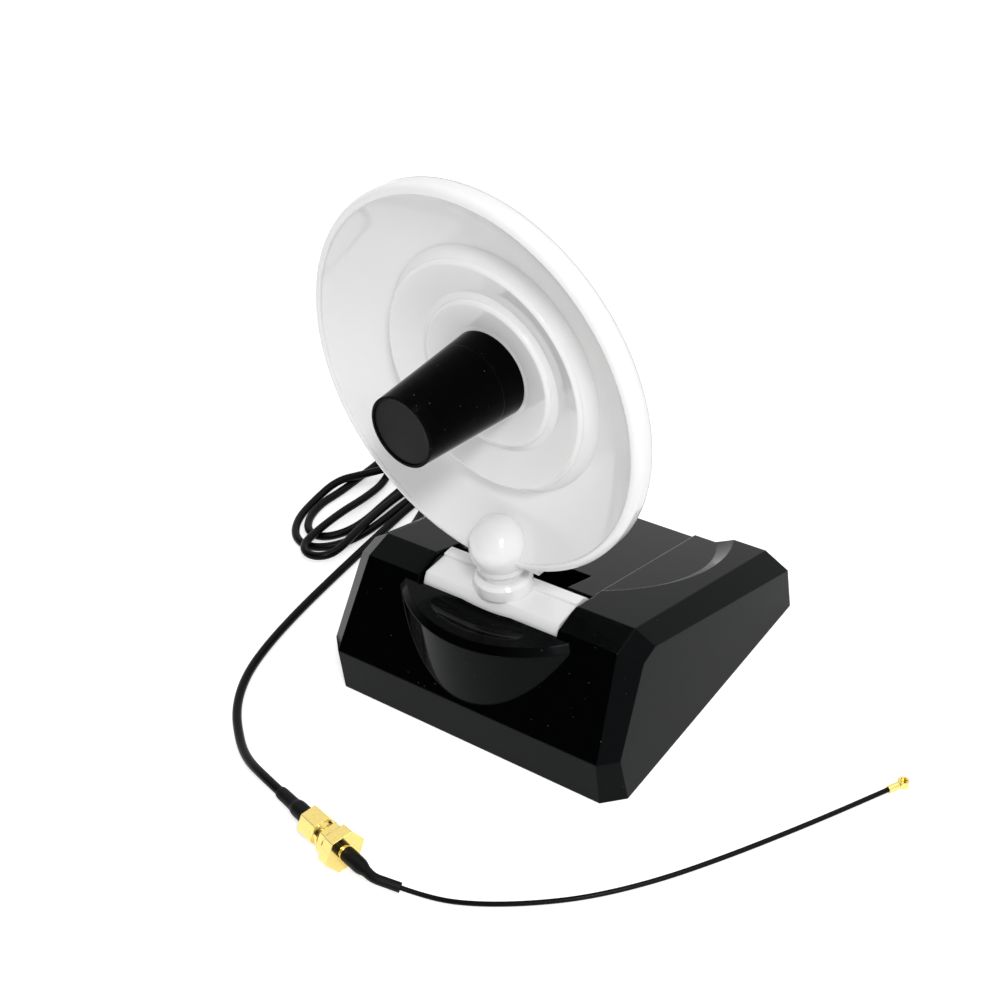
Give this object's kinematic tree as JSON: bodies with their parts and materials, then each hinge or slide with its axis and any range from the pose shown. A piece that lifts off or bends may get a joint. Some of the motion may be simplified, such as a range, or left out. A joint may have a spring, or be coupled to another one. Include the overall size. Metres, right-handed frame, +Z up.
{
  "type": "directional wi-fi antenna",
  "caption": "Tabletop directional wi-fi antenna: white stepped dish with a tapered black feed, on a swivel stem and a tilting bar in a black wedge base, with cord and pigtail.",
  "frame": {"origin": "centre of the base's flat underside", "axes": "+Z up, -Y the way the dish faces, +X to the right of someone who looks at the dish's face"},
  "size_m": [0.2354, 0.1991, 0.1616],
  "materials": {
    "black_gloss": "high gloss moulding",
    "black_matte": "fine matte moulding",
    "white_gloss": "high gloss moulding",
    "white_washer": "plain slip washer",
    "steel": "plain zinc-plated",
    "rubber_black": "matte rubber",
    "aluminium_plate": "plain sheet",
    "brass_plain": "turned brass",
    "copper_plate": "plain copper sheet",
    "gold_plated": "bright gold plating",
    "board_green": "circuit board",
    "cord_jacket": "soft satin jacket",
    "shrink_sleeve": "shrunk sleeve"
  },
  "bodies": {
    "base": {"base_shell": "black_gloss", "base_plate": "black_matte", "base_screws": "steel", "hinge_pins": "steel", "base_feet": "rubber_black", "friction_washers": "rubber_black", "cable_outlet": "rubber_black", "coupling_nut": "gold_plated", "plug_body": "gold_plated", "jack_body": "gold_plated", "lock_washer": "gold_plated", "panel_nut": "gold_plated", "snap_connector": "gold_plated", "base_lead": "cord_jacket", "cord_lead_in": "cord_jacket", "cord_coil": "cord_jacket", "cord_run": "cord_jacket", "pigtail_cord": "cord_jacket", "connector_boot": "shrink_sleeve", "pigtail_tail": "shrink_sleeve", "pigtail_sleeve": "shrink_sleeve"},
    "tilt_bar": {"hinge_bar": "white_gloss", "swivel_washer": "white_washer", "spring_washer": "steel"},
    "dish": {"dish_front": "white_gloss", "dish_back": "white_gloss", "dish_screws": "steel", "swivel_stem": "white_gloss", "swivel_nut": "brass_plain", "reflector_plate": "aluminium_plate", "feed_collar": "black_gloss", "feed_housing": "black_gloss", "feed_cap": "black_matte", "feed_nut": "brass_plain", "feed_board": "board_green", "feed_stem": "brass_plain", "driven_element": "copper_plate", "dish_lead": "cord_jacket"}
  },
  "joints": [
    {"name": "dish_tilt", "type": "hinge", "parent": "base", "child": "tilt_bar", "pos_m": [0, -0.0235, 0.034], "axis": [1, 0, 0], "range_deg": [-48, 12]},
    {"name": "dish_swivel", "type": "hinge", "parent": "tilt_bar", "child": "dish", "pos_m": [0, -0.0235, 0.045], "axis": [0, 0, 1], "range_deg": [-40.8, 49.2]}
  ]
}
